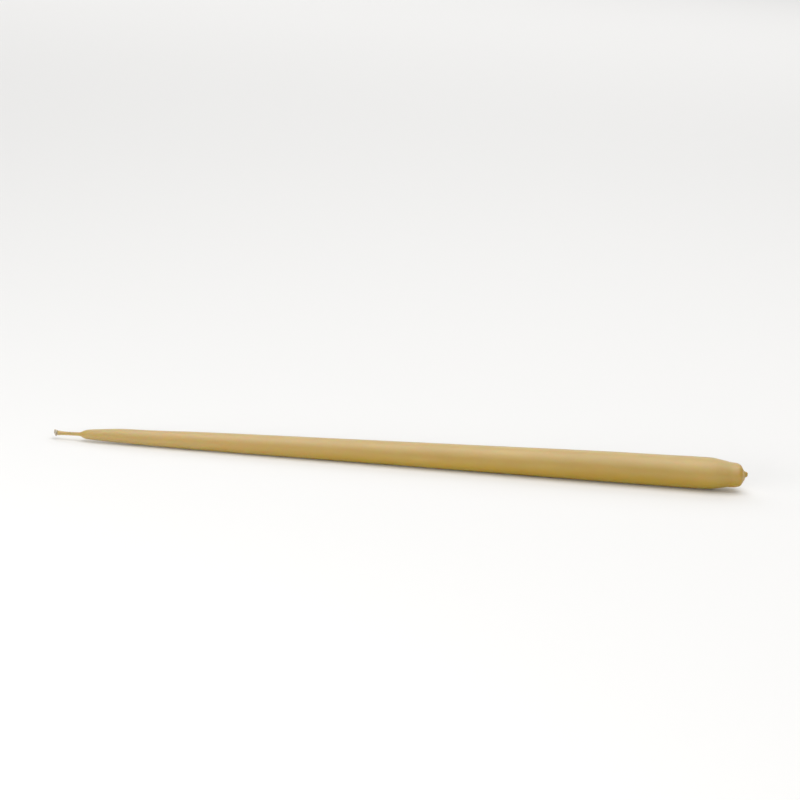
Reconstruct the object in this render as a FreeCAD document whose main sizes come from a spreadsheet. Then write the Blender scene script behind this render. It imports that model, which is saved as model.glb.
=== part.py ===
import FreeCAD, Part
import math
import os
import re

import Sketcher

doc = FreeCAD.newDocument("TaperCandle")

# Driving dimensions in millimetres. The stretches follow one another along the candle's
# axis, from the wick's cut end to the nub at the butt, and each has a length of its own.
driving_dimensions = {
    "bare_wick_length": 1.9,  # frayed cotton in front of the wax coat
    "wick_neck_length": 2.6,  # coated stretch where the wick narrows behind its frayed end
    "waxed_wick_length": 9.2,  # from that neck to the wax shoulder
    "point_length": 17.3,
    "tip_length": 55.0,
    "middle_length": 133.0,  # the straight stretch that the candle lies on
    "butt_length": 36.5,
    "land_length": 10.1,  # the parallel stretch, up to the ridge
    "seat_length": 12.75,  # the cone that a socket grips, up to the face plane
    "nub_length": 1.65,
    "shoulder_diameter": 3.75,
    "point_diameter": 5.74,
    "middle_front_diameter": 8.05,
    "middle_back_diameter": 12.2,
    "land_diameter": 13.0,
    "seat_end_diameter": 8.3,  # where the seat's cone would meet the face plane
    "nub_diameter": 1.8,
    "shoulder_radius": 5.0,
    "wick_root_radius": 2.0,
    "ridge_radius": 8.0,
    "end_corner_radius": 2.6,
    "nub_root_radius": 4.0,
    "wick_diameter": 1.1,
    "wick_mouth_diameter": 1.55,  # the wick where it leaves its coat
    "wick_face_diameter": 1.6,  # its cut face
    "wick_tuft_radius": 1.43,  # the swelling of its frayed end, in section
    "wick_coat": 0.15,  # wax on the wick's side
    "wick_end_cover": 0.8,  # wax between the wick's lower end and the nub's end
}

sheet = doc.addObject("Spreadsheet::Sheet", "Sizes")
for row, (alias, value) in enumerate(driving_dimensions.items(), start=1):
    sheet.set(f"A{row}", alias)
    sheet.set(f"B{row}", str(value))
    sheet.setAlias(f"B{row}", alias)
doc.recompute()

front_stretches = (
    "bare_wick_length",
    "wick_neck_length",
    "waxed_wick_length",
    "point_length",
    "tip_length",
)
back_stretches = ("middle_length", "butt_length", "land_length", "seat_length", "nub_length")

full_turn = 360
volume_match = 0.001  # largest difference between the bore and the wick, as a share
straight_enough = 1e-9


def value_of(formula):
    return float(sheet.evalExpression(formula_in_cells(formula)))


def formula_in_cells(formula):
    def in_cell(word):
        return "Sizes." + word[0] if word[0] in driving_dimensions else word[0]

    return re.sub(r"\w+", in_cell, formula)


def at(along, radius):
    return FreeCAD.Vector(along, radius, 0)


def toward(vector, length):
    return FreeCAD.Vector(vector).normalize() * length


def middle_of_arc(centre, start, end):
    # the point halfway along the arc that has this centre
    return centre + toward(start + end - centre * 2, centre.distanceToPoint(start))


def middle_of_tangent_arc(start, heading, end):
    # the point halfway along the arc that leaves start along heading and reaches end
    chord = end - start
    half_turn = chord.getAngle(heading) / 2
    outward = heading - chord * (heading.dot(chord) / chord.dot(chord))
    if outward.Length < straight_enough:
        return start + chord / 2
    return start + chord / 2 + toward(outward, chord.Length / 2 * math.tan(half_turn))


def heading_at_end(start, heading, end):
    # the heading of that same arc where it reaches end
    chord = toward(end - start, 1)
    return chord * (2 * heading.dot(chord)) - heading


def centre_touching(first, first_distance, second, second_distance):
    # the point at these distances from two centres, on the outer side of the line between them
    between = second - first
    along = (first_distance**2 - second_distance**2 + between.Length**2) / (2 * between.Length)
    outward = math.sqrt(first_distance**2 - along**2)
    return first + toward(between, along) + toward(at(-between.y, between.x), outward)


def rounded_corner(corner, before, after, radius):
    # start, middle and end of the arc that rounds a corner between two unit directions
    half_turn = before.getAngle(after) / 2
    reach = radius * math.tan(half_turn)
    depth = radius / math.cos(half_turn) - radius
    return corner - before * reach, corner + toward(after - before, depth), corner + after * reach


class HalfOutline:
    # a closed half section: across is along the candle's axis, up is the radius
    start, end, centre = 1, 2, 3
    axis = -1
    origin = (axis, start)

    def __init__(self, body, name):
        upright = next(item for item in body.Origin.OriginFeatures if item.Role == "XZ_Plane")
        self.sketch = body.newObject("Sketcher::SketchObject", name)
        self.sketch.AttachmentSupport = [(upright, "")]
        self.sketch.MapMode = "FlatFace"

    def line(self, start, end):
        return self.sketch.addGeometry(Part.LineSegment(start, end), False)

    def arc(self, start, middle, end):
        return self.sketch.addGeometry(Part.Arc(start, middle, end), False)

    def guide_line(self, start, end):
        return self.sketch.addGeometry(Part.LineSegment(start, end), True)

    def sharp_corner(self, point, *lines):
        # where lines would meet if the corner between them weren't rounded
        index = self.sketch.addGeometry(Part.Point(point), True)
        for line in lines:
            self.rule("PointOnObject", index, self.start, line)
        return index, self.start

    def rule(self, kind, *elements):
        return self.sketch.addConstraint(Sketcher.Constraint(kind, *elements))

    def meeting(self, first, second):
        # the ends, one of each stretch, that lie on each other
        def apart(pair):
            other_end = self.sketch.getPoint(second, pair[1])
            return self.sketch.getPoint(first, pair[0]).distanceToPoint(other_end)

        pairs = [(one, other) for one in (self.start, self.end) for other in (self.start, self.end)]
        one, other = min(pairs, key=apart)
        return first, one, second, other

    def end_between(self, first, second):
        return self.meeting(first, second)[:2]

    def meet(self, kind, *stretches):
        # kind is Coincident, or Tangent where one runs smoothly into the next
        for first, second in zip(stretches, stretches[1:]):
            self.rule(kind, *self.meeting(first, second))

    def dimension(self, name, kind, *elements, formula=None):
        formula = formula or name
        index = self.rule(kind, *elements, value_of(formula))
        self.sketch.renameConstraint(index, name)
        self.sketch.setExpression("Constraints." + name, formula_in_cells(formula))

    def length(self, name, start, end, formula=None):
        self.dimension(name, "DistanceX", *start, *end, formula=formula)

    def radius_at(self, name, point, formula=None):
        self.dimension(name, "DistanceY", *self.origin, *point, formula=formula or f"{name} / 2")

    def rounding(self, name, arc, formula=None):
        self.dimension(name, "Radius", arc, formula=formula)


def draw_wax_outline(body):
    outline = HalfOutline(body, "wax_outline")

    mouth_x = value_of("bare_wick_length")
    neck_x = mouth_x + value_of("wick_neck_length")
    shoulder_x = neck_x + value_of("waxed_wick_length")
    point_x = shoulder_x + value_of("point_length")
    front_x = point_x + value_of("tip_length")
    back_x = front_x + value_of("middle_length")
    land_x = back_x + value_of("butt_length")
    ridge_x = land_x + value_of("land_length")
    face_x = ridge_x + value_of("seat_length")
    nub_x = face_x + value_of("nub_length")

    mouth_end = at(mouth_x, value_of("wick_mouth_diameter / 2 + wick_coat"))
    neck_end = at(neck_x, value_of("wick_diameter / 2 + wick_coat"))
    shoulder_start = at(shoulder_x, value_of("shoulder_diameter / 2"))
    point_end = at(point_x, value_of("point_diameter / 2"))
    middle_front = at(front_x, value_of("middle_front_diameter / 2"))
    middle_back = at(back_x, value_of("middle_back_diameter / 2"))
    land_start = at(land_x, value_of("land_diameter / 2"))
    ridge = at(ridge_x, value_of("land_diameter / 2"))
    end_corner = at(face_x, value_of("seat_end_diameter / 2"))

    # the dipped flank: one straight stretch, and arcs that leave it smoothly at both ends
    forward = toward(middle_front - middle_back, 1)
    into_point = heading_at_end(middle_front, forward, point_end)
    into_shoulder = heading_at_end(point_end, into_point, shoulder_start)
    tip_middle = middle_of_tangent_arc(middle_front, forward, point_end)
    point_middle = middle_of_tangent_arc(point_end, into_point, shoulder_start)
    butt_middle = middle_of_tangent_arc(middle_back, -forward, land_start)

    # the wax shoulder and the fillet that runs out onto the wick
    shoulder_radius = value_of("shoulder_radius")
    root_radius = value_of("wick_root_radius")
    shoulder_centre = shoulder_start + at(-into_shoulder.y, into_shoulder.x) * shoulder_radius
    root_height = neck_end.y + root_radius
    root_reach = math.sqrt((shoulder_radius + root_radius) ** 2 - (root_height - shoulder_centre.y) ** 2)
    root_centre = at(shoulder_centre.x - root_reach, root_height)
    root_top = shoulder_centre + toward(root_centre - shoulder_centre, shoulder_radius)
    root_foot = at(root_centre.x, neck_end.y)

    # the seat's two rounded corners
    along, down = at(1, 0), at(0, -1)
    seat_heading = toward(end_corner - ridge, 1)
    ridge_arc = rounded_corner(ridge, along, seat_heading, value_of("ridge_radius"))
    corner_arc = rounded_corner(end_corner, seat_heading, down, value_of("end_corner_radius"))

    # the nub: its round end, and a hollow flank that runs out of the rounded end corner
    end_radius = value_of("end_corner_radius")
    nub_radius = value_of("nub_diameter / 2")
    flank_radius = value_of("nub_root_radius")
    end_centre = corner_arc[2] - along * end_radius
    nub_centre = at(nub_x - nub_radius, 0)
    flank_centre = centre_touching(
        end_centre, end_radius + flank_radius, nub_centre, nub_radius + flank_radius
    )
    flank_top = end_centre + toward(flank_centre - end_centre, end_radius)
    flank_foot = nub_centre + toward(flank_centre - nub_centre, nub_radius)
    nub_end = at(nub_x, 0)

    mouth = outline.line(at(mouth_x, 0), mouth_end)
    neck = outline.line(mouth_end, neck_end)
    waxed_wick = outline.line(neck_end, root_foot)
    root = outline.arc(root_foot, middle_of_arc(root_centre, root_foot, root_top), root_top)
    shoulder = outline.arc(
        root_top, middle_of_arc(shoulder_centre, root_top, shoulder_start), shoulder_start
    )
    point = outline.arc(shoulder_start, point_middle, point_end)
    tip = outline.arc(point_end, tip_middle, middle_front)
    middle = outline.line(middle_front, middle_back)
    butt = outline.arc(middle_back, butt_middle, land_start)
    land = outline.line(land_start, ridge_arc[0])
    ridge_round = outline.arc(*ridge_arc)
    seat = outline.line(ridge_arc[2], corner_arc[0])
    end_round = outline.arc(
        corner_arc[0], middle_of_arc(end_centre, corner_arc[0], flank_top), flank_top
    )
    flank = outline.arc(flank_top, middle_of_arc(flank_centre, flank_top, flank_foot), flank_foot)
    nub = outline.arc(flank_foot, middle_of_arc(nub_centre, flank_foot, nub_end), nub_end)
    face_plane = outline.guide_line(end_corner, corner_arc[2])
    core = outline.line(nub_end, at(mouth_x, 0))

    outline.meet("Coincident", mouth, neck, waxed_wick)
    outline.meet("Tangent", waxed_wick, root, shoulder, point, tip, middle, butt)
    outline.meet("Coincident", butt, land)
    outline.meet("Tangent", land, ridge_round, seat, end_round, flank, nub)
    outline.meet("Coincident", nub, core, mouth)

    outline.rule("Vertical", mouth)
    outline.rule("Horizontal", waxed_wick)
    outline.rule("Horizontal", land)
    outline.rule("Vertical", face_plane)
    outline.rule("Tangent", face_plane, end_round)
    outline.rule("Horizontal", face_plane, outline.end, end_round, outline.centre)
    outline.rule("PointOnObject", *outline.end_between(mouth, core), outline.axis)
    outline.rule("PointOnObject", *outline.end_between(nub, core), outline.axis)
    outline.rule("PointOnObject", nub, outline.centre, outline.axis)
    ridge_corner = outline.sharp_corner(ridge, land, seat)
    face_corner = outline.sharp_corner(end_corner, seat)
    outline.rule("Coincident", face_plane, outline.start, *face_corner)

    mouth_at = outline.end_between(mouth, neck)
    neck_at = outline.end_between(neck, waxed_wick)
    shoulder_at = outline.end_between(shoulder, point)
    point_at = outline.end_between(point, tip)
    front_at = outline.end_between(tip, middle)
    back_at = outline.end_between(middle, butt)
    land_at = outline.end_between(butt, land)
    nub_at = outline.end_between(nub, core)

    outline.length("bare_wick_length", outline.origin, mouth_at)
    outline.length("wick_neck_length", mouth_at, neck_at)
    outline.length("waxed_wick_length", neck_at, shoulder_at)
    outline.length("point_length", shoulder_at, point_at)
    outline.length("tip_length", point_at, front_at)
    outline.length("middle_length", front_at, back_at)
    outline.length("butt_length", back_at, land_at)
    outline.length("land_length", land_at, ridge_corner)
    outline.length("seat_length", ridge_corner, face_corner)
    outline.length("nub_length", face_corner, nub_at)

    outline.radius_at("coated_mouth", mouth_at, formula="wick_mouth_diameter / 2 + wick_coat")
    outline.radius_at("coated_wick", neck_at, formula="wick_diameter / 2 + wick_coat")
    outline.radius_at("shoulder_diameter", shoulder_at)
    outline.radius_at("point_diameter", point_at)
    outline.radius_at("middle_front_diameter", front_at)
    outline.radius_at("middle_back_diameter", back_at)
    outline.radius_at("land_diameter", land_at)
    outline.radius_at("seat_end_diameter", face_corner)

    outline.rounding("wick_root_radius", root)
    outline.rounding("shoulder_radius", shoulder)
    outline.rounding("ridge_radius", ridge_round)
    outline.rounding("end_corner_radius", end_round)
    outline.rounding("nub_root_radius", flank)
    outline.rounding("nub_diameter", nub, formula="nub_diameter / 2")
    return outline.sketch


def draw_wick_outline(body, name):
    # The same outline makes the wick and the bore that it fills, so the two always fit.
    outline = HalfOutline(body, name)
    mouth_x = value_of("bare_wick_length")
    neck_x = mouth_x + value_of("wick_neck_length")
    buried_end = "+".join(front_stretches + back_stretches) + " - wick_end_cover"
    end_x = value_of(buried_end)

    face_top = at(0, value_of("wick_face_diameter / 2"))
    mouth_edge = at(mouth_x, value_of("wick_mouth_diameter / 2"))
    neck_edge = at(neck_x, value_of("wick_diameter / 2"))
    tuft_chord = mouth_edge - face_top
    tuft_depth = math.sqrt(value_of("wick_tuft_radius") ** 2 - tuft_chord.Length**2 / 4)
    tuft_centre = (face_top + mouth_edge) / 2 + toward(at(tuft_chord.y, -tuft_chord.x), tuft_depth)

    face = outline.line(at(0, 0), face_top)
    tuft = outline.arc(face_top, middle_of_arc(tuft_centre, face_top, mouth_edge), mouth_edge)
    neck = outline.line(mouth_edge, neck_edge)
    cord = outline.line(neck_edge, at(end_x, neck_edge.y))
    lower_end = outline.line(at(end_x, neck_edge.y), at(end_x, 0))
    core = outline.line(at(end_x, 0), at(0, 0))

    outline.meet("Coincident", face, tuft, neck, cord, lower_end, core, face)
    outline.rule("Coincident", *outline.end_between(face, core), *outline.origin)
    outline.rule("Vertical", face)
    outline.rule("Horizontal", cord)
    outline.rule("Vertical", lower_end)
    outline.rule("PointOnObject", *outline.end_between(lower_end, core), outline.axis)

    mouth_at = outline.end_between(tuft, neck)
    neck_at = outline.end_between(neck, cord)
    outline.length("bare_wick_length", outline.origin, mouth_at)
    outline.length("wick_neck_length", mouth_at, neck_at)
    outline.length("buried_end", outline.origin, outline.end_between(cord, lower_end), formula=buried_end)
    outline.radius_at("wick_face_diameter", outline.end_between(face, tuft))
    outline.radius_at("wick_mouth_diameter", mouth_at)
    outline.radius_at("wick_diameter", neck_at)
    outline.rounding("wick_tuft_radius", tuft)
    return outline.sketch


def turn(body, kind, name, sketch):
    feature = body.newObject(kind, name)
    feature.Profile = sketch
    feature.ReferenceAxis = (sketch, ["H_Axis"])
    feature.Angle = full_turn
    return feature


def lay_down(body):
    # The candle lies on its straight middle stretch, so its axis rises toward the butt by
    # that stretch's half angle. It is centred lengthwise over the frame's origin.
    rise = "atan((middle_back_diameter - middle_front_diameter) / 2 / middle_length)"
    whole_length = "+".join(front_stretches + back_stretches)
    front_length = "+".join(front_stretches)
    flat = FreeCAD.Rotation(FreeCAD.Vector(0, -1, 0), value_of(rise))
    body.Placement = FreeCAD.Placement(FreeCAD.Vector(), flat)
    places = {
        "Placement.Rotation.Angle": rise,
        "Placement.Base.x": f"-({whole_length}) / 2 * cos({rise})",
        "Placement.Base.z": f"middle_front_diameter / 2 * cos({rise}) - ({front_length}) * sin({rise})",
    }
    for place, formula in places.items():
        body.setExpression(place, formula_in_cells(formula))


def make_wax_body():
    body = doc.addObject("PartDesign::Body", "wax_body")
    body.Label = "wax_body"
    dipped_wax = turn(body, "PartDesign::Revolution", "dipped_wax", draw_wax_outline(body))
    doc.recompute()
    turn(body, "PartDesign::Groove", "wick_bore", draw_wick_outline(body, "bore_outline"))
    lay_down(body)
    return body, dipped_wax


def make_wick():
    body = doc.addObject("PartDesign::Body", "wick")
    body.Label = "wick"
    cotton_cord = turn(
        body, "PartDesign::Revolution", "cotton_cord", draw_wick_outline(body, "wick_outline")
    )
    lay_down(body)
    return body, cotton_cord


wax_body, dipped_wax = make_wax_body()
wick, cotton_cord = make_wick()
sub_parts = [wax_body, wick]
doc.recompute()

for item in doc.Objects:
    if {"Invalid", "Error"} & set(item.State):
        raise RuntimeError(f"{item.Name} failed: {item.State}")
    if item.TypeId == "Sketcher::SketchObject" and not item.FullyConstrained:
        raise RuntimeError(f"{item.Name} isn't fully constrained")
for sub_part in sub_parts:
    if sub_part.Shape.isNull() or not sub_part.Shape.isValid():
        raise RuntimeError(f"{sub_part.Label} has no valid shape")

# the bore takes away just what the wick fills
bored_away = dipped_wax.Shape.Volume - wax_body.Shape.Volume
filled = dipped_wax.Shape.common(cotton_cord.Shape).Volume
if abs(bored_away - filled) > volume_match * filled:
    raise RuntimeError(f"the bore holds {bored_away:.3f} mm3 and the wick fills {filled:.3f} mm3")

os.makedirs("parts", exist_ok=True)
for sub_part in sub_parts:
    sub_part.Shape.exportStep(f"parts/{sub_part.Label}.step")
    print(f"{sub_part.Label}: {sub_part.Shape.Volume:.1f} mm3, {sub_part.Shape.BoundBox}")
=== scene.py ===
import math
import bmesh
import bpy
from mathutils import Matrix, Vector


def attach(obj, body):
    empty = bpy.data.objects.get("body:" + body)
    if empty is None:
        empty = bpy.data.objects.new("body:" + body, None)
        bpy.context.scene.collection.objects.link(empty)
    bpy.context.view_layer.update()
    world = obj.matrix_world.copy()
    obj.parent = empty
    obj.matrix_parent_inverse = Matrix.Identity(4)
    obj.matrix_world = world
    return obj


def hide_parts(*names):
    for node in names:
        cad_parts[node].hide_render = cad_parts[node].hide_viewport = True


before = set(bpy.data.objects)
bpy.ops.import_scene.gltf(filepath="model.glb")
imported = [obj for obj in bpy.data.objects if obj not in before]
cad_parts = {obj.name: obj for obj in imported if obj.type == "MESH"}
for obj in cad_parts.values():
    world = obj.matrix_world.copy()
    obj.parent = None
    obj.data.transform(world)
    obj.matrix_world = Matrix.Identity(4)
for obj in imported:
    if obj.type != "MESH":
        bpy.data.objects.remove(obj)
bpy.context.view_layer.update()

mm = 0.001
scene = bpy.context.scene
print("frame loaded:", sorted(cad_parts))

# how the candle lies: its axis starts at the wick's cut end and climbs toward the butt
lie = {
    "wickTip": (-139.983 * mm, 0.0, 2.683 * mm),
    "rise": 0.8938278,  # degrees
}

# how the nodes stand in the editor
nodeLayout = {"across": 190, "down": 260, "inRow": 9}


# small helpers for node trees

def addNode(tree, kind, sockets=None, **settings):
    # sockets is {name or index: a value, or the socket to link from}
    made = tree.nodes.new(kind)
    row, column = divmod(len(tree.nodes), nodeLayout["inRow"])
    made.location = (nodeLayout["across"] * column, -nodeLayout["down"] * row)
    for name, value in settings.items():
        setattr(made, name, value)
    for name, value in (sockets or {}).items():
        if isinstance(value, bpy.types.NodeSocket):
            tree.links.new(value, made.inputs[name])
        else:
            made.inputs[name].default_value = value
    return made


def calc(tree, operation, *values):
    return addNode(tree, "ShaderNodeMath", dict(enumerate(values)), operation=operation).outputs[0]


def times(tree, first, *others):
    for other in others:
        first = calc(tree, "MULTIPLY", first, other)
    return first


def sine(tree, angle):
    return calc(tree, "SINE", angle)


def vector(tree, x=0.0, y=0.0, z=0.0):
    return addNode(tree, "ShaderNodeCombineXYZ", {"X": x, "Y": y, "Z": z}).outputs[0]


def vectorCalc(tree, operation, sockets):
    return addNode(tree, "ShaderNodeVectorMath", sockets, operation=operation).outputs[0]


def between(tree, share, low, high):
    # straight from low to high as share goes from 0 to 1
    return addNode(tree, "ShaderNodeMix", {0: share, 2: low, 3: high}, data_type="FLOAT").outputs[0]


def fade(tree, value, start, end, low=0.0, high=1.0):
    # runs smoothly from low to high while value goes from start to end
    sockets = {"Value": value, "From Min": start, "From Max": end, "To Min": low, "To Max": high}
    return addNode(tree, "ShaderNodeMapRange", sockets, interpolation_type="SMOOTHSTEP").outputs[0]


def fadeOut(tree, value, start, end):
    return fade(tree, value, start, end, 1.0, 0.0)


def noise(tree, place, seed, scale=1.0, detail=2.0):
    sockets = {"Vector": place, "W": seed, "Scale": scale, "Detail": detail}
    return addNode(tree, "ShaderNodeTexNoise", sockets, noise_dimensions="4D").outputs[0]


def named(tree, name):
    return addNode(tree, "GeometryNodeInputNamedAttribute", {"Name": name}, data_type="FLOAT").outputs[0]


def store(tree, geometry, name, value):
    sockets = {"Geometry": geometry, "Name": name, "Value": value}
    made = addNode(tree, "GeometryNodeStoreNamedAttribute", sockets, data_type="FLOAT", domain="POINT")
    return made.outputs[0]


def pointPlace(tree):
    place = addNode(tree, "GeometryNodeInputPosition").outputs[0]
    return addNode(tree, "ShaderNodeSeparateXYZ", {0: place}).outputs


def alongSpline(tree):
    return addNode(tree, "GeometryNodeSplineParameter").outputs["Factor"]


def moved(tree, geometry, **sockets):
    # sockets is Offset or Position
    return addNode(tree, "GeometryNodeSetPosition", {"Geometry": geometry, **sockets}).outputs[0]


def straightLine(tree, end, points, start=(0.0, 0.0, 0.0)):
    line = addNode(tree, "GeometryNodeCurvePrimitiveLine", {"Start": start, "End": end}).outputs[0]
    return addNode(tree, "GeometryNodeResampleCurve", {"Curve": line, "Count": points}).outputs[0]


def circle(tree, sides, radius=1.0):
    sockets = {"Resolution": sides, "Radius": radius}
    return addNode(tree, "GeometryNodeCurvePrimitiveCircle", sockets).outputs[0]


def tube(tree, line, ring, girth=1.0, caps=True):
    # girth scales the ring along the line
    sockets = {"Curve": line, "Profile Curve": ring, "Scale": girth, "Fill Caps": caps}
    return addNode(tree, "GeometryNodeCurveToMesh", sockets).outputs[0]


def oneOnEach(tree, points, shape):
    sockets = {"Points": points, "Instance": shape}
    copies = addNode(tree, "GeometryNodeInstanceOnPoints", sockets).outputs[0]
    return addNode(tree, "GeometryNodeRealizeInstances", {"Geometry": copies}).outputs[0]


def startTree(name, inputs):
    # inputs is {name: socket type}; gives the tree and its named inputs
    tree = bpy.data.node_groups.new(name, "GeometryNodeTree")
    tree.is_modifier = True
    placing = {"Wick tip": "Vector", "Lie": "Rotation", "Material": "Material"}
    inputs = {**inputs, **placing}
    for label, kind in inputs.items():
        tree.interface.new_socket(label, in_out="INPUT", socket_type="NodeSocket" + kind)
    tree.interface.new_socket("Result", in_out="OUTPUT", socket_type="NodeSocketGeometry")
    given = addNode(tree, "NodeGroupInput").outputs
    return tree, {label: given[label] for label in inputs}


def endTree(tree, given, *parts):
    # every tree draws the candle straight along X, and lays it in its place at the end
    joined = addNode(tree, "GeometryNodeJoinGeometry")
    for part in parts:
        tree.links.new(part, joined.inputs[0])
    smooth = addNode(tree, "GeometryNodeSetShadeSmooth", {"Geometry": joined.outputs[0]}).outputs[0]
    lay = {"Geometry": smooth, "Translation": given["Wick tip"], "Rotation": given["Lie"]}
    placed = addNode(tree, "GeometryNodeTransform", lay).outputs[0]
    whole = addNode(tree, "GeometryNodeRealizeInstances", {"Geometry": placed}).outputs[0]
    dress = {"Geometry": whole, "Material": given["Material"]}
    dressed = addNode(tree, "GeometryNodeSetMaterial", dress).outputs[0]
    addNode(tree, "NodeGroupOutput", {"Result": dressed})


def makePiece(name, tree, settings, material, host=None):
    # runs the tree on its host mesh and keeps the plain mesh that comes out
    piece = bpy.data.objects.new(name, host or bpy.data.meshes.new(name + "Host"))
    scene.collection.objects.link(piece)
    modifier = piece.modifiers.new(name + "Nodes", "NODES")
    modifier.node_group = tree
    lieTurn = (0.0, math.radians(-lie["rise"]), 0.0)
    settings = {"Wick tip": lie["wickTip"], "Lie": lieTurn, "Material": material, **settings}
    for socket in tree.interface.items_tree:
        if socket.in_out == "INPUT" and socket.name in settings:
            modifier[socket.identifier] = settings[socket.name]
    graph = bpy.context.evaluated_depsgraph_get()
    mesh = bpy.data.meshes.new_from_object(piece.evaluated_get(graph), depsgraph=graph)
    piece.modifiers.remove(modifier)
    piece.data = mesh
    shape = bmesh.new()
    shape.from_mesh(mesh)
    bmesh.ops.recalc_face_normals(shape, faces=shape.faces)
    openEdges = sum(not edge.is_manifold for edge in shape.edges)
    triangles = sum(len(face.verts) - 2 for face in shape.faces)
    volume = shape.calc_volume(signed=True) / mm ** 3
    shape.to_mesh(mesh)
    shape.free()
    mesh.name = name
    print(f"{name}: {triangles} triangles, {openEdges} open edges, {volume:.1f} mm3")
    return piece


# small helpers for materials

def startMaterial(name):
    material = bpy.data.materials.new(name)
    material.use_nodes = True
    tree = material.node_tree
    return material, tree, tree.nodes["Principled BSDF"]


def setShader(tree, shader, values):
    # values is {input: a value that is the same all over, or the socket to link from}
    for name, value in values.items():
        if isinstance(value, bpy.types.NodeSocket):
            tree.links.new(value, shader.inputs[name])
        else:
            shader.inputs[name].default_value = value


def onPiece(tree):
    return addNode(tree, "ShaderNodeTexCoord").outputs["Object"]


def alongCandle(tree):
    # distance from the wick's cut end
    across = addNode(tree, "ShaderNodeSeparateXYZ", {0: onPiece(tree)}).outputs[0]
    return calc(tree, "SUBTRACT", across, lie["wickTip"][0])


def objectNoise(tree, cells, seed, detail):
    # cells is how many there are to the metre along each axis
    place = addNode(tree, "ShaderNodeMapping", {"Vector": onPiece(tree), "Scale": cells}).outputs[0]
    return noise(tree, place, seed, 1.0, detail)


def attribute(tree, name):
    return addNode(tree, "ShaderNodeAttribute", attribute_name=name).outputs["Fac"]


def colourMix(tree, share, first, second):
    sockets = {0: share, 6: first, 7: second}
    return addNode(tree, "ShaderNodeMix", sockets, data_type="RGBA").outputs[2]


def bumpNormal(tree, height, strength, distance):
    sockets = {"Height": height, "Strength": strength, "Distance": distance}
    return addNode(tree, "ShaderNodeBump", sockets).outputs[0]


# dipped wax

waxBody = {
    # distance from the wick's cut end, and the wax's diameter there, in mm
    "outline": [
        (1.90, 0.0), (1.91, 1.64), (1.98, 1.78), (2.12, 1.86), (2.5, 1.80), (3.4, 1.58), (4.5, 1.44),
        (6.0, 1.42), (9.4, 1.42), (10.2, 1.46), (10.7, 1.64), (11.2, 2.10), (11.6, 2.58), (12.0, 2.96),
        (12.4, 3.26), (12.8, 3.50), (13.2, 3.68), (14.4, 3.98), (16.8, 4.34), (19.5, 4.70),
        (23.0, 5.22), (26.5, 5.62), (31.0, 5.86), (36.2, 6.10), (45.8, 6.62), (55.4, 7.14),
        (65.0, 7.48), (74.6, 7.84), (86.0, 8.16), (124.0, 9.30), (161.0, 10.42), (190.0, 11.32),
        (219.0, 12.24), (235.4, 12.58), (251.7, 12.86), (258.0, 13.0), (262.0, 12.98),
        (264.6, 12.84), (266.3, 12.46), (267.9, 11.86), (269.5, 11.30), (271.2, 10.68), (272.0, 10.34),
        (272.8, 10.22), (273.6, 10.11), (274.4, 10.01), (275.2, 9.86), (275.8, 9.60), (276.4, 9.16),
        (276.9, 8.60), (277.3, 7.72), (277.7, 6.44), (278.1, 5.20), (278.5, 4.08), (278.75, 3.24),
        (278.95, 2.62), (279.2, 2.30), (279.5, 2.08), (279.75, 1.68), (279.9, 1.16), (279.98, 0.56),
        (280.0, 0.0),
    ],
    # how far that ring's middle stands above the straight axis, in mm
    "lean": [
        (0.0, -0.12), (4.5, -0.24), (9.0, -0.20), (12.0, -0.17), (14.5, -0.08), (20.0, 0.05),
        (28.0, 0.15), (34.0, 0.06), (45.0, -0.02), (60.0, 0.03), (86.0, 0.06), (219.0, 0.06),
        (235.0, -0.02), (259.0, -0.1), (267.0, -0.02), (271.5, -0.02), (272.8, -0.08), (275.8, -0.17),
        (276.6, -0.27), (277.5, -0.44), (278.3, -0.36), (278.7, -0.04), (278.95, 0.26), (280.0, 0.40),
    ],
    # rings up to this distance stand this far apart, in mm
    "rings": [
        (2.2, 0.03), (5.0, 0.1), (14.0, 0.14), (32.0, 0.5), (262.0, 1.0), (277.0, 0.2), (279.4, 0.07),
        (280.0, 0.03),
    ],
    "nodes": {
        "Sides": 96,
        "Ripple height": 0.06 * mm,
        "Ripple length": 17.0 * mm,
        "Ripple width": 9.0 * mm,
        "Braid relief": 0.035 * mm,
        "Braid pitch": 2.6 * mm,
        "Mouth wave": 0.5 * mm,  # how uneven the coat's front edge is
        "Mouth cells": 1.6,
        "Seat lip": -0.06 * mm,
        "Weld": 0.002 * mm,  # closes the pole at each end
        "Seed": 3.7,
    },
    # the ripple grows from the first share to the second while the wax's radius does the same
    "rippleRadii": (0.4 * mm, 4.5 * mm),
    "rippleShares": (0.25, 2.0),
    # stretches from the wick's cut end
    "mouthEnds": (2.0 * mm, 4.0 * mm),
    "braidHides": (8.0 * mm, 11.0 * mm),
    "lipStarts": (272.2 * mm, 272.8 * mm),
    "lipEnds": (274.0 * mm, 276.8 * mm),
    # heights round a ring, 1 at its top and -1 at its foot, between which the lip comes in
    "lipTurns": (0.1, -0.8),
}


def slopesAt(stations):
    # a harmonic mean of the slopes on both sides, and level at a crest or a dip
    steps = [(b[1] - a[1]) / (b[0] - a[0]) for a, b in zip(stations, stations[1:])]
    inner = [2 * a * b / (a + b) if a * b > 0 else 0.0 for a, b in zip(steps, steps[1:])]
    return [steps[0]] + inner + [steps[-1]]


def smoothThrough(stations, place):
    # a smooth line through the stations that never overshoots them
    slopes = slopesAt(stations)
    index = max(i for i in range(len(stations) - 1) if i == 0 or stations[i][0] <= place)
    (start, low), (end, high) = stations[index], stations[index + 1]
    gap = end - start
    t = (place - start) / gap
    rest = 1 - t
    return (
        low * rest * rest * (1 + 2 * t) + slopes[index] * gap * t * rest * rest
        + high * t * t * (3 - 2 * t) - slopes[index + 1] * gap * t * t * rest
    )


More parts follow.
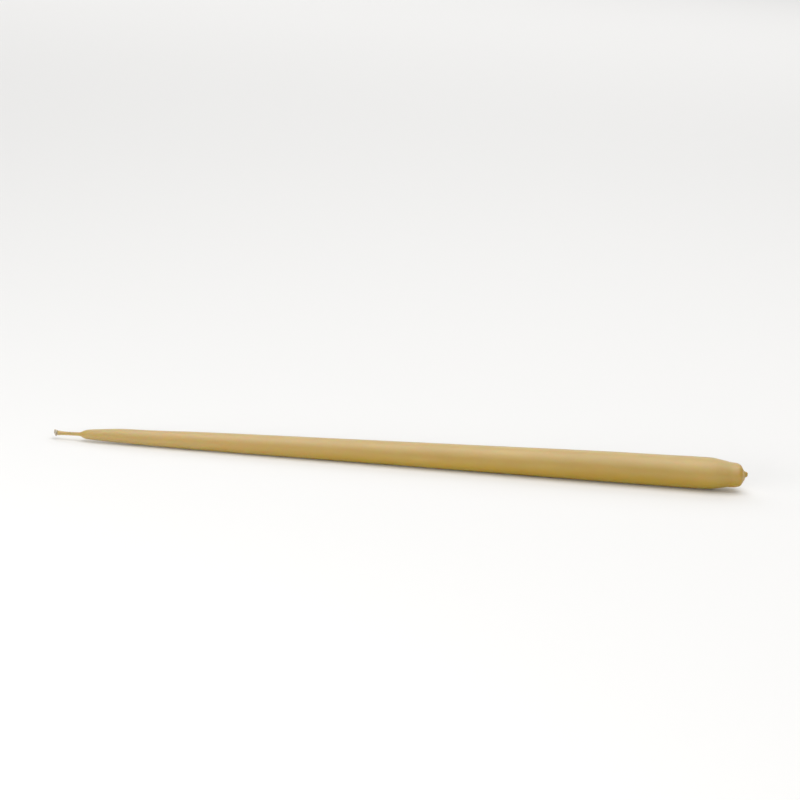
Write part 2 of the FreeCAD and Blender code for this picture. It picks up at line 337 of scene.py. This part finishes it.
def axisLine(settings):
    # the wax's axis as a chain of points, each with its ring's radius and lean
    places = [settings["outline"][0][0], settings["outline"][1][0]]
    for limit, step in settings["rings"]:
        count = max(1, round((limit - places[-1]) / step))
        start = places[-1]
        places += [start + (limit - start) * (i + 1) / count for i in range(count)]
    line = bpy.data.meshes.new("waxAxisLine")
    links = [(i, i + 1) for i in range(len(places) - 1)]
    line.from_pydata([(u * mm, 0, 0) for u in places], links, [])
    girth = line.attributes.new("girth", "FLOAT", "POINT")
    girth.data.foreach_set("value", [smoothThrough(settings["outline"], u) / 2 * mm for u in places])
    lean = line.attributes.new("lean", "FLOAT", "POINT")
    lean.data.foreach_set("value", [smoothThrough(settings["lean"], u) * mm for u in places])
    return line


def dippedWaxTree():
    # a ring round each point of the axis line, then what dipping by hand does to the skin
    tree, given = startTree("dippedWax", {
        "Axis line": "Geometry", "Sides": "Int", "Ripple height": "Float", "Ripple length": "Float",
        "Ripple width": "Float", "Braid relief": "Float", "Braid pitch": "Float", "Mouth wave": "Float",
        "Mouth cells": "Float", "Seat lip": "Float", "Weld": "Float", "Seed": "Float",
    })
    line = addNode(tree, "GeometryNodeMeshToCurve", {"Mesh": given["Axis line"]}).outputs[0]
    girth = named(tree, "girth")
    skin = tube(tree, line, circle(tree, given["Sides"]), girth, caps=False)

    along, aside, high = pointPlace(tree)
    turn = calc(tree, "ARCTAN2", high, aside)
    upward = sine(tree, turn)
    outward = vectorCalc(tree, "NORMALIZE", {0: vector(tree, 0.0, aside, high)})

    # soft swells left by the dips, weaker where the wax is thin
    swellPlace = vector(
        tree,
        calc(tree, "DIVIDE", along, given["Ripple length"]),
        calc(tree, "DIVIDE", aside, given["Ripple width"]),
        calc(tree, "DIVIDE", high, given["Ripple width"]),
    )
    swell = calc(tree, "SUBTRACT", noise(tree, swellPlace, given["Seed"]), 0.5)
    weight = fade(tree, girth, *waxBody["rippleRadii"], *waxBody["rippleShares"])
    ripple = times(tree, swell, weight, given["Ripple height"])

    # the braid shows through the thin coat on the wick
    climb = calc(tree, "DIVIDE", times(tree, along, math.tau), given["Braid pitch"])
    twice = times(tree, turn, 2.0)
    oneWay = sine(tree, calc(tree, "ADD", twice, climb))
    otherWay = sine(tree, calc(tree, "SUBTRACT", twice, climb))
    shows = fadeOut(tree, along, *waxBody["braidHides"])
    relief = times(tree, oneWay, otherWay, shows, given["Braid relief"])

    # a faint lip under the seat, where it was shaped
    lip = times(
        tree, fade(tree, along, *waxBody["lipStarts"]), fadeOut(tree, along, *waxBody["lipEnds"]),
        fade(tree, upward, *waxBody["lipTurns"]), given["Seat lip"],
    )
    push = calc(tree, "SUBTRACT", calc(tree, "ADD", ripple, relief), lip)
    pushed = vectorCalc(tree, "SCALE", {0: outward, "Scale": push})

    # the coat's front edge is uneven, and every ring leans with the candle
    edgePlace = vector(tree, 0.0, calc(tree, "COSINE", turn), upward)
    edge = calc(tree, "SUBTRACT", noise(tree, edgePlace, given["Seed"], given["Mouth cells"]), 0.5)
    reach = times(tree, edge, fadeOut(tree, along, *waxBody["mouthEnds"]), given["Mouth wave"])
    leaning = vector(tree, reach, 0.0, named(tree, "lean"))

    skin = store(tree, skin, "upward", upward)
    shaped = moved(tree, skin, Offset=vectorCalc(tree, "ADD", {0: pushed, 1: leaning}))
    weld = {"Geometry": shaped, "Distance": given["Weld"]}
    endTree(tree, given, addNode(tree, "GeometryNodeMergeByDistance", weld).outputs[0])
    return tree


waxFinish = {
    # linear colours of the wax: it varies between the first two
    "light": (0.432, 0.293, 0.045, 1.0),
    "deep": (0.397, 0.259, 0.027, 1.0),
    "thinAndLit": (0.41, 0.281, 0.068, 1.0),  # paler toward the wick end: partly the thinner wax over the cotton, partly painted light for a more brightly lit tip end
    # cells to the metre along X, Y and Z, seed and detail
    "clouds": ((40, 110, 110), 1.3, 3.0),
    "streaks": ((90, 420, 420), 5.1, 3.0),
    "grain": ((900, 1500, 1500), 2.2, 4.0),
    "toneShares": (0.82, 0.18),  # how much of the colour's variation is clouds, and how much streaks
    "toneRange": (0.3, 0.7),  # the stretch of the noise that is used
    "roughness": (0.38, 0.45),
    "grainStrength": 0.5,
    "grainHeight": 0.012 * mm,
    "glow": 5.0 * mm,  # how far light wanders inside
    "glowOnWick": 0.4 * mm,
    "glowInNub": 0.2,  # share of it that is left in the drip nub
    "shadedUnderSheen": 0.15,  # painted shade: share of the gloss that is left on the underside
    "shadedEndSheen": 0.7,  # and on the end face, also painted shade
    "sheenTurns": (-0.6, 0.35),  # heights round a ring between which the gloss comes in; its loss below them is painted shade
    # stretches from the wick's cut end
    "thinAndLitEnds": (15 * mm, 200 * mm),
    "glowGrows": (5 * mm, 60 * mm),
    "nubStarts": (277.2 * mm, 278.8 * mm),
    # between these the gloss on the underside is turned down, a painted shade
    "underShadeGrows": (15 * mm, 120 * mm),
    "endFaceStarts": (274.2 * mm, 277.3 * mm),
    # the same all over
    "shader": {
        "IOR": 1.45,
        "Specular IOR Level": 0.2,
        "Coat Roughness": 0.42,
        "Coat IOR": 1.86,
        "Subsurface Weight": 1.0,
        "Subsurface Radius": (1.0, 0.33, 0.07),
    },
}


def dippedWaxMaterial():
    material, tree, shader = startMaterial("dippedWax")
    clouds = objectNoise(tree, *waxFinish["clouds"])
    streaks = objectNoise(tree, *waxFinish["streaks"])
    grain = objectNoise(tree, *waxFinish["grain"])
    cloudShare, streakShare = waxFinish["toneShares"]
    tone = calc(tree, "ADD", times(tree, clouds, cloudShare), times(tree, streaks, streakShare))
    along = alongCandle(tree)
    deepness = fade(tree, tone, *waxFinish["toneRange"])
    colour = colourMix(tree, deepness, waxFinish["light"], waxFinish["deep"])
    # paler toward the wick end, partly thinner wax and partly painted light
    colour = colourMix(tree, fadeOut(tree, along, *waxFinish["thinAndLitEnds"]), colour, waxFinish["thinAndLit"])

    # painted shade: the gloss is turned down on the underside, more so toward the butt, and on the end
    # face, so these parts read darker as if in shade
    glossUnderShade = fade(tree, along, *waxFinish["underShadeGrows"], 1.0, waxFinish["shadedUnderSheen"])
    sheen = times(
        tree, fade(tree, attribute(tree, "upward"), *waxFinish["sheenTurns"], glossUnderShade, 1.0),
        fade(tree, along, *waxFinish["endFaceStarts"], 1.0, waxFinish["shadedEndSheen"]),
    )
    glow = times(
        tree, fade(tree, along, *waxFinish["glowGrows"], waxFinish["glowOnWick"], waxFinish["glow"]),
        fade(tree, along, *waxFinish["nubStarts"], 1.0, waxFinish["glowInNub"]),
    )
    shader.subsurface_method = "RANDOM_WALK"
    setShader(tree, shader, {
        "Base Color": colour,
        "Roughness": fade(tree, streaks, *waxFinish["toneRange"], *waxFinish["roughness"]),
        "Normal": bumpNormal(tree, grain, waxFinish["grainStrength"], waxFinish["grainHeight"]),
        "Coat Weight": sheen,
        "Subsurface Scale": glow,
        **waxFinish["shader"],
    })
    return material


wax = makePiece("dippedWax", dippedWaxTree(), waxBody["nodes"], dippedWaxMaterial(), axisLine(waxBody))
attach(wax, "root")
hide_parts("wax_body")


# braided cotton wick

wickDrop = 0.15 * mm  # it stands a little low in its coat
wickPlace = (lie["wickTip"][0], lie["wickTip"][1], lie["wickTip"][2] - wickDrop)

wickCord = {
    # distance from where the strands start, and the radius that their middles run on, in mm
    "girth": [(0.0, 0.80), (0.3, 0.92), (0.6, 0.86), (1.1, 0.62), (1.8, 0.50), (4.1, 0.36)],
    "nodes": {
        "Wick tip": wickPlace,
        "Start": 0.9 * mm,
        "Strands each way": 4,
        "Length": 4.1 * mm,
        "Pitch": 5.2 * mm,
        "Weave depth": 0.07 * mm,
        "Strand radius": 0.2 * mm,
        "Strand steps": 64,
        "Strand sides": 10,
        "Core length": 277.6 * mm,
        "Core radius": 0.5 * mm,
        "Core steps": 40,
        "Core sides": 16,
    },
}


def girthCurve(tree, share):
    # the radius that the strands run on, in metres
    made = addNode(tree, "ShaderNodeFloatCurve", {"Value": share})
    curve = made.mapping.curves[0]
    first, *inner, last = wickCord["girth"]
    curve.points[0].location = (0.0, first[1])
    curve.points[-1].location = (1.0, last[1])
    span = wickCord["nodes"]["Length"] / mm
    for distance, radius in inner:
        curve.points.new(distance / span, radius)
    made.mapping.update()
    return times(tree, made.outputs[0], mm)


def braidedWickTree():
    # strands wound both ways that pass over and under each other, round a plain core
    tree, given = startTree("braidedWick", {
        "Start": "Float", "Strands each way": "Int", "Length": "Float", "Pitch": "Float",
        "Weave depth": "Float", "Strand radius": "Float", "Strand steps": "Int", "Strand sides": "Int",
        "Core length": "Float", "Core radius": "Float", "Core steps": "Int", "Core sides": "Int",
    })
    each = given["Strands each way"]
    points = addNode(tree, "GeometryNodePoints", {"Count": times(tree, each, 2.0)}).outputs[0]
    points = store(tree, points, "strand", addNode(tree, "GeometryNodeInputIndex").outputs[0])
    line = straightLine(tree, vector(tree, given["Length"]), given["Strand steps"])
    strands = oneOnEach(tree, points, line)

    # even strands wind one way and odd ones the other
    strand = named(tree, "strand")
    share = alongSpline(tree)
    along = times(tree, share, given["Length"])
    odd = calc(tree, "MODULO", strand, 2.0)
    way = calc(tree, "SUBTRACT", times(tree, odd, 2.0), 1.0)
    winding = calc(tree, "DIVIDE", times(tree, along, math.tau), given["Pitch"])
    pair = calc(tree, "FLOOR", calc(tree, "DIVIDE", strand, 2.0))
    seat = times(tree, pair, calc(tree, "DIVIDE", math.tau, each))
    turn = calc(tree, "ADD", times(tree, winding, way), seat)
    overUnder = times(tree, calc(tree, "COSINE", times(tree, winding, each)), way)
    radius = calc(tree, "ADD", girthCurve(tree, share), times(tree, overUnder, given["Weave depth"]))
    onStrand = vector(
        tree, calc(tree, "ADD", along, given["Start"]),
        times(tree, calc(tree, "COSINE", turn), radius), times(tree, sine(tree, turn), radius),
    )
    strands = moved(tree, strands, Position=onStrand)
    strands = store(tree, strands, "alongStrand", along)
    ring = circle(tree, given["Strand sides"], given["Strand radius"])
    ring = store(tree, ring, "roundStrand", alongSpline(tree))

    coreLine = straightLine(
        tree, vector(tree, given["Core length"]), given["Core steps"], vector(tree, given["Start"]),
    )
    core = tube(tree, coreLine, circle(tree, given["Core sides"], given["Core radius"]))
    endTree(tree, given, tube(tree, strands, ring), core)
    return tree


wickTuft = {
    "nodes": {
        "Wick tip": wickPlace,
        "Fibres": 700,
        "Fibre steps": 7,
        "Fibre sides": 5,
        "Fibre radius": 0.036 * mm,
        "Fibre tip": 0.6,  # share of that radius at its loose end
        "Root": 1.6 * mm,  # where the loose fibres leave the braid, from the cut end
        "Root radius": 0.78 * mm,
        "End radius": 1.26 * mm,
        "Cut slope": 0.34,  # the cut slants: upper fibres are longer
        "Cut rounding": 0.3 * mm,  # outer fibres are shorter
        "Ragged": 0.22 * mm,
        "Curl": 0.09 * mm,
        "Curl turns": 4.0,  # radians of sway along a fibre
        "Plug start": 2.6 * mm,
        "Plug waist": 0.56 * mm,
        "Plug end": 1.04 * mm,
        "Plug rim": 0.72,  # share of that radius at the plug's rounded rim
        "Plug depth": 0.22 * mm,  # how far the matted cotton sits behind the loose ends
        "Plug steps": 24,
        "Plug sides": 32,
        "Seed": 11,
    },
    # shares of the length
    "fibresOpen": (0.0, 0.75),
    "fibresThin": (0.6, 1.0),
    "plugFlares": (0.25, 0.85),
    "plugRounds": (0.88, 1.0),
    "leastSpread": 0.02,  # how near the middle a fibre may stand, as a share of the area
}


def cutTuftTree():
    # loose fibres that fan out of the cut end
    tree, given = startTree("cutTuft", {
        "Fibres": "Int", "Fibre steps": "Int", "Fibre sides": "Int", "Fibre radius": "Float",
        "Fibre tip": "Float", "Root": "Float", "Root radius": "Float", "End radius": "Float",
        "Cut slope": "Float", "Cut rounding": "Float", "Ragged": "Float", "Curl": "Float",
        "Curl turns": "Float", "Plug start": "Float", "Plug waist": "Float", "Plug end": "Float",
        "Plug rim": "Float", "Plug depth": "Float", "Plug steps": "Int", "Plug sides": "Int",
        "Seed": "Int",
    })

    def chance(order, low, high):
        sockets = {"Min": low, "Max": high, "Seed": calc(tree, "ADD", given["Seed"], float(order))}
        return addNode(tree, "FunctionNodeRandomValue", sockets).outputs[1]

    points = addNode(tree, "GeometryNodePoints", {"Count": given["Fibres"]}).outputs[0]
    points = store(tree, points, "spin", chance(1, 0.0, math.tau))
    area = chance(2, wickTuft["leastSpread"], 1.0)
    points = store(tree, points, "spread", calc(tree, "SQRT", area))
    points = store(tree, points, "ragged", chance(3, 0.0, 1.0))
    points = store(tree, points, "sway", chance(4, 0.0, math.tau))
    fibres = oneOnEach(tree, points, straightLine(tree, (1.0, 0.0, 0.0), given["Fibre steps"]))

    # each fibre fans out, sways and curls
    share = alongSpline(tree)
    spin, spread, ragged, sway = (named(tree, name) for name in ("spin", "spread", "ragged", "sway"))
    opened = fade(tree, share, *wickTuft["fibresOpen"])
    reach = between(tree, opened, given["Root radius"], given["End radius"])
    swayed = sine(tree, calc(tree, "MULTIPLY_ADD", share, given["Curl turns"], sway))
    bend = times(tree, swayed, times(tree, share, given["Curl"]))
    radius = calc(tree, "ADD", times(tree, reach, spread), bend)
    turn = calc(tree, "ADD", spin, times(tree, share, sine(tree, sway)))
    aside = times(tree, calc(tree, "COSINE", turn), radius)
    high = times(tree, sine(tree, turn), radius)

    # and ends at the slanting cut
    tipHigh = times(tree, sine(tree, spin), times(tree, spread, given["End radius"]))
    rounded = times(tree, calc(tree, "POWER", spread, 3.0), given["Cut rounding"])
    slope = times(tree, calc(tree, "SUBTRACT", given["End radius"], tipHigh), given["Cut slope"])
    cut = calc(tree, "ADD", calc(tree, "ADD", slope, rounded), times(tree, ragged, given["Ragged"]))
    along = between(tree, share, given["Root"], cut)
    fibres = moved(tree, fibres, Position=vector(tree, along, aside, high))
    thinned = fade(tree, share, *wickTuft["fibresThin"], 1.0, given["Fibre tip"])
    tuft = tube(tree, fibres, circle(tree, given["Fibre sides"], given["Fibre radius"]), thinned)

    # matted cotton fills the inside, and is cut at the same slant
    plugLine = straightLine(tree, (1.0, 0.0, 0.0), given["Plug steps"])
    plugLine = store(tree, plugLine, "share", share)
    plugShare = named(tree, "share")
    flared = fade(tree, plugShare, *wickTuft["plugFlares"])
    flare = between(tree, flared, given["Plug waist"], given["Plug end"])
    girth = times(tree, flare, fade(tree, plugShare, *wickTuft["plugRounds"], 1.0, given["Plug rim"]))
    plug = tube(tree, plugLine, circle(tree, given["Plug sides"]), girth)
    plugAside, plugHigh = pointPlace(tree)[1:]
    below = calc(tree, "SUBTRACT", given["End radius"], plugHigh)
    plugCut = calc(tree, "MULTIPLY_ADD", below, given["Cut slope"], given["Plug depth"])
    plugAlong = between(tree, plugShare, given["Plug start"], plugCut)
    plug = moved(tree, plug, Position=vector(tree, plugAlong, plugAside, plugHigh))
    endTree(tree, given, tuft, plug)
    return tree


cottonFinish = {
    "bare": (0.62, 0.54, 0.42, 1.0),
    "soaked": (0.44, 0.33, 0.16, 1.0),
    "soakedFrom": (1.0 * mm, 1.9 * mm),  # wax soaks in between these distances from the cut end
    "soakedEdge": 0.8 * mm,  # how uneven that edge is
    "plies": 3,  # to a strand
    "plyLength": 0.9 * mm,
    "lint": ((1400, 2600, 2600), 4.4, 3.0),  # cells to the metre along X, Y and Z, seed and detail
    # painted shade from the grooves to the crests: darker in the grooves, lighter on the crests
    "shadeFrom": (0.1, 0.8),
    "shadeTo": (0.78, 1.08),
    "roughness": (0.9, 0.5),  # bare, soaked
    "lintRelief": 0.6,  # as a share of the plies' relief
    "reliefStrength": 0.6,
    "reliefHeight": 0.03 * mm,
    # the same all over
    "shader": {
        "Subsurface Weight": 0.4,
        "Subsurface Scale": 0.4 * mm,
        "Subsurface Radius": (1.0, 0.8, 0.6),
        "Sheen Weight": 0.2,
    },
}


def cottonMaterial():
    material, tree, shader = startMaterial("braidedCotton")
    lint = objectNoise(tree, *cottonFinish["lint"])
    uneven = calc(tree, "MULTIPLY_ADD", lint, cottonFinish["soakedEdge"], alongCandle(tree))
    start, end = (edge + cottonFinish["soakedEdge"] / 2 for edge in cottonFinish["soakedFrom"])
    soaked = fade(tree, uneven, start, end)
    colour = colourMix(tree, soaked, cottonFinish["bare"], cottonFinish["soaked"])

    # plies wind round each strand; their grooves are darker, a painted shade mixed with the lint's
    # random tone
    twist = calc(tree, "DIVIDE", attribute(tree, "alongStrand"), cottonFinish["plyLength"])
    plies = float(cottonFinish["plies"])
    ply = calc(tree, "MULTIPLY_ADD", attribute(tree, "roundStrand"), plies, twist)
    crest = calc(tree, "ABSOLUTE", sine(tree, times(tree, ply, math.pi)))
    crestAndLint = calc(tree, "MULTIPLY_ADD", lint, 0.5, times(tree, crest, 0.5))
    shade = fade(tree, crestAndLint, *cottonFinish["shadeFrom"], *cottonFinish["shadeTo"])
    height = calc(tree, "ADD", crest, times(tree, lint, cottonFinish["lintRelief"]))
    relief = (cottonFinish["reliefStrength"], cottonFinish["reliefHeight"])
    setShader(tree, shader, {
        "Base Color": vectorCalc(tree, "SCALE", {0: colour, "Scale": shade}),
        "Roughness": fade(tree, soaked, 0.0, 1.0, *cottonFinish["roughness"]),
        "Normal": bumpNormal(tree, height, *relief),
        **cottonFinish["shader"],
    })
    return material


cotton = cottonMaterial()
braid = makePiece("braidedWick", braidedWickTree(), wickCord["nodes"], cotton)
tuft = makePiece("cutTuft", cutTuftTree(), wickTuft["nodes"], cotton)
for piece in (braid, tuft):
    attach(piece, "root")
    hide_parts("wick")


# floor, lights and camera

studio = {
    "floorHalf": 14.0,  # metres from its middle to each side
    "floorShader": {
        "Base Color": (0.815, 0.81, 0.8, 1.0),
        "Roughness": 0.9,
        "Specular IOR Level": 0.1,
    },
    "room": (1.0, 1.0, 1.0, 1.0),
    "roomStrength": 0.25,
    # name, place, point it faces, size across and deep, all in metres, power in watts,
    # whether it lights surfaces, and whether it shows in gloss
    "lights": [
        ("overheadSoftbox", (0.22, -0.08, 1.2), (0.22, -0.08, 0.0), 1.5, 1.45, 13.1, True, True),
        ("frontFill", (0.2, -1.4, 1.2), (0.0, 0.0, 0.0), 2.6, 1.0, 5.0, True, True),
        ("frontSheen", (0.2, -1.4, 0.85), (0.0, 0.0, 0.0), 2.6, 0.9, 2.9, False, True),
        ("lowFill", (-0.5, -0.55, 0.155), (-0.08, 0.0, 0.0), 0.7, 0.13, 3.6, True, False),
        ("floorWash", (0.0, 2.4, 1.25), (0.0, 2.4, 0.0), 6.0, 2.8, 59.0, True, True),
    ],
}


def layFloor():
    half = studio["floorHalf"]
    mesh = bpy.data.meshes.new("paleFloor")
    corners = [(-half, -half, 0), (half, -half, 0), (half, half, 0), (-half, half, 0)]
    mesh.from_pydata(corners, [], [(0, 1, 2, 3)])
    material, tree, shader = startMaterial("paleFloor")
    setShader(tree, shader, studio["floorShader"])
    mesh.materials.append(material)
    floor = bpy.data.objects.new("paleFloor", mesh)
    scene.collection.objects.link(floor)


def hangLight(name, place, target, across, deep, power, onSurfaces, inGloss):
    light = bpy.data.lights.new(name, "AREA")
    light.shape = "RECTANGLE"
    light.size = across
    light.size_y = deep
    light.energy = power
    made = bpy.data.objects.new(name, light)
    made.location = place
    made.rotation_euler = (Vector(place) - Vector(target)).to_track_quat("Z", "Y").to_euler()
    made.visible_camera = False
    made.visible_diffuse = onSurfaces
    made.visible_glossy = inGloss
    scene.collection.objects.link(made)


def paintRoom():
    room = bpy.data.worlds.new("paleRoom")
    room.use_nodes = True
    background = room.node_tree.nodes["Background"]
    background.inputs["Color"].default_value = studio["room"]
    background.inputs["Strength"].default_value = studio["roomStrength"]
    scene.world = room
    scene.view_settings.view_transform = "Standard"


layFloor()
for settings in studio["lights"]:
    hangLight(*settings)
paintRoom()
print("studio lit")

shot = {
    "azimuth": -5.0,  # degrees, from straight in front
    "elevation": 15.5,
    "distance": 0.84,
    "picture": 800,  # pixels across
    "sensor": 36,  # mm
    "clip": (0.01, 60),
    # the candle's two ends, in metres and in the photograph's pixels
    "wickTip": ((-0.13998, 0.0, 0.002683), (53.3, 432.0)),
    "nubTip": ((0.13998, 0.0, 0.007051), (747.6, 475.4)),
}


def aimCamera():
    # puts both ends of the candle on their pixels by moving, rolling and zooming the camera
    a, e = math.radians(shot["azimuth"]), math.radians(shot["elevation"])
    right = Vector((math.cos(a), math.sin(a), 0))
    up = Vector((-math.sin(a) * math.sin(e), math.cos(a) * math.sin(e), math.cos(e)))
    back = right.cross(up)
    place = back * shot["distance"]
    half = shot["picture"] / 2

    # both planes are held as complex numbers, so one factor is the zoom and the roll
    seen = []
    for point, pixel in (shot["wickTip"], shot["nubTip"]):
        offset = Vector(point) - place
        flat = complex(offset.dot(right), offset.dot(up))
        image = complex(pixel[0] - half, half - pixel[1]) * -offset.dot(back)
        seen.append((flat, image))
    (wickFlat, wickImage), (nubFlat, nubImage) = seen
    zoom = (wickImage - nubImage) / (wickFlat - nubFlat)
    middle = wickFlat - wickImage / zoom
    place += right * middle.real + up * middle.imag
    roll = zoom / abs(zoom)
    rolledRight = right * roll.real - up * roll.imag
    rolledUp = right * roll.imag + up * roll.real

    camera = bpy.data.cameras.new("camera")
    camera.sensor_width = shot["sensor"]
    camera.lens = abs(zoom) * camera.sensor_width / shot["picture"]
    camera.clip_start, camera.clip_end = shot["clip"]
    made = bpy.data.objects.new("camera", camera)
    turned = Matrix((rolledRight, rolledUp, back)).transposed().to_4x4()
    made.matrix_world = Matrix.Translation(place) @ turned
    scene.collection.objects.link(made)
    scene.camera = made
    rolled = math.degrees(math.atan2(roll.imag, roll.real))
    print(f"camera: lens {camera.lens:.1f} mm, roll {rolled:.2f} degrees")


aimCamera()
